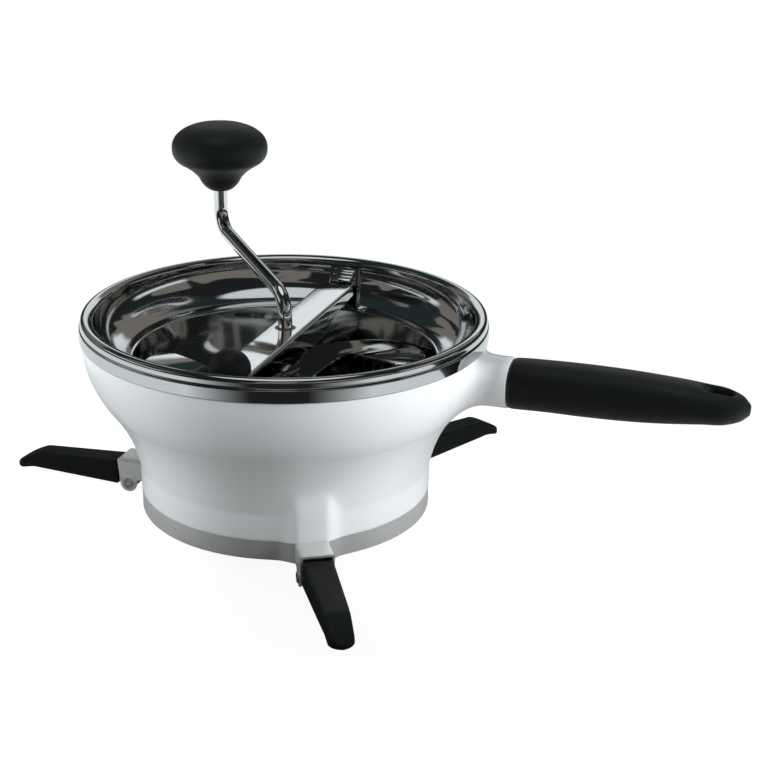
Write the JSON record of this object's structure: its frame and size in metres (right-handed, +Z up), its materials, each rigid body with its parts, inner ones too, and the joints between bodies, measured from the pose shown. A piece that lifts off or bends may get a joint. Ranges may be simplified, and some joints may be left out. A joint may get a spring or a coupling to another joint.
{
  "type": "food mill",
  "caption": "Hand-cranked food mill: steel bowl in a white casing, sprung blade over a perforated disc, crossbar, side handle with a soft grip, and folding legs.",
  "frame": {"origin": "bowl axis at the plane of the base ring's underside, the centre of the discharge opening", "axes": "+X along the handle, +Y along the crossbar towards the fixed hook, +Z up along the bowl axis"},
  "size_m": [0.4329, 0.3032, 0.2079],
  "materials": {
    "casing": "glossy white moulded plastic",
    "bowl_steel": "mirror-polished stainless steel, fine circular polish lines",
    "polished_steel": "mirror-polished stainless steel",
    "rod_steel": "bright chrome-plated rod",
    "brushed_steel": "brushed stainless steel, lengthwise grain",
    "hardware": "plain bright steel",
    "spring_steel": "drawn spring wire",
    "bushing": "turned steel",
    "soft_grip": "matte black soft-touch elastomer",
    "leg_rubber": "matte black non-slip rubber",
    "black_nylon": "fine-textured black nylon"
  },
  "bodies": {
    "mill": {"outer_casing": "casing", "inner_bowl": "bowl_steel", "base_ring": "brushed_steel", "base_screws": "hardware", "grinding_disc": "bowl_steel", "far_clip": "polished_steel", "near_clip": "polished_steel", "clip_rivets": "hardware", "crossbar": "polished_steel", "bar_bushing": "bushing", "spring_seat": "hardware", "handle_core": "black_nylon", "handle_grip": "soft_grip", "handle_screw": "hardware", "bracket_rivets": "hardware", "leg_bracket_1": "brushed_steel", "leg_bracket_2": "brushed_steel", "leg_bracket_3": "brushed_steel", "leg_pin_1": "hardware", "leg_pin_2": "hardware", "leg_pin_3": "hardware"},
    "release": {"release_knob": "black_nylon", "latch_bolt": "polished_steel", "latch_screw": "hardware"},
    "lift": {"thrust_washer": "hardware", "pressure_spring": "spring_steel"},
    "crank": {"crank_rod": "rod_steel", "blade_hub": "polished_steel", "blade": "polished_steel", "hub_pin": "hardware", "knob_ring": "hardware"},
    "knob": {"knob_grip": "soft_grip", "knob_core": "black_nylon"},
    "leg_1": {"leg_arm_1": "hardware", "leg_cover_1": "leg_rubber"},
    "leg_2": {"leg_arm_2": "hardware", "leg_cover_2": "leg_rubber"},
    "leg_3": {"leg_arm_3": "hardware", "leg_cover_3": "leg_rubber"}
  },
  "joints": [
    {"name": "blade_lift", "type": "slide", "parent": "mill", "child": "lift", "axis": [0, 0, 1], "range_m": [0, 0.002], "stiffness_N_per_m": 1500, "springref_m": -0.006, "deforming": ["pressure_spring"]},
    {"name": "crank_spin", "type": "hinge", "parent": "lift", "child": "crank", "pos_m": [0, 0, 0.0625], "axis": [0, 0, 1], "continuous": true},
    {"name": "knob_spin", "type": "hinge", "parent": "crank", "child": "knob", "pos_m": [-0.06927, 0.07351, 0.17], "axis": [0, 0, 1], "continuous": true},
    {"name": "release_slide", "type": "slide", "parent": "mill", "child": "release", "axis": [0, 1, 0], "range_m": [0, 0.006], "stiffness_N_per_m": 250, "springref_m": -0.004},
    {"name": "leg_1_fold", "type": "hinge", "parent": "mill", "child": "leg_1", "pos_m": [0.0485, 0.084, -0.0027], "axis": [-0.866, 0.5, 0], "range_deg": [0, 180]},
    {"name": "leg_2_fold", "type": "hinge", "parent": "mill", "child": "leg_2", "pos_m": [-0.097, 0, -0.0027], "axis": [0, -1, 0], "range_deg": [0, 180]},
    {"name": "leg_3_fold", "type": "hinge", "parent": "mill", "child": "leg_3", "pos_m": [0.0485, -0.084, -0.0027], "axis": [0.866, 0.5, 0], "range_deg": [0, 180]}
  ]
}
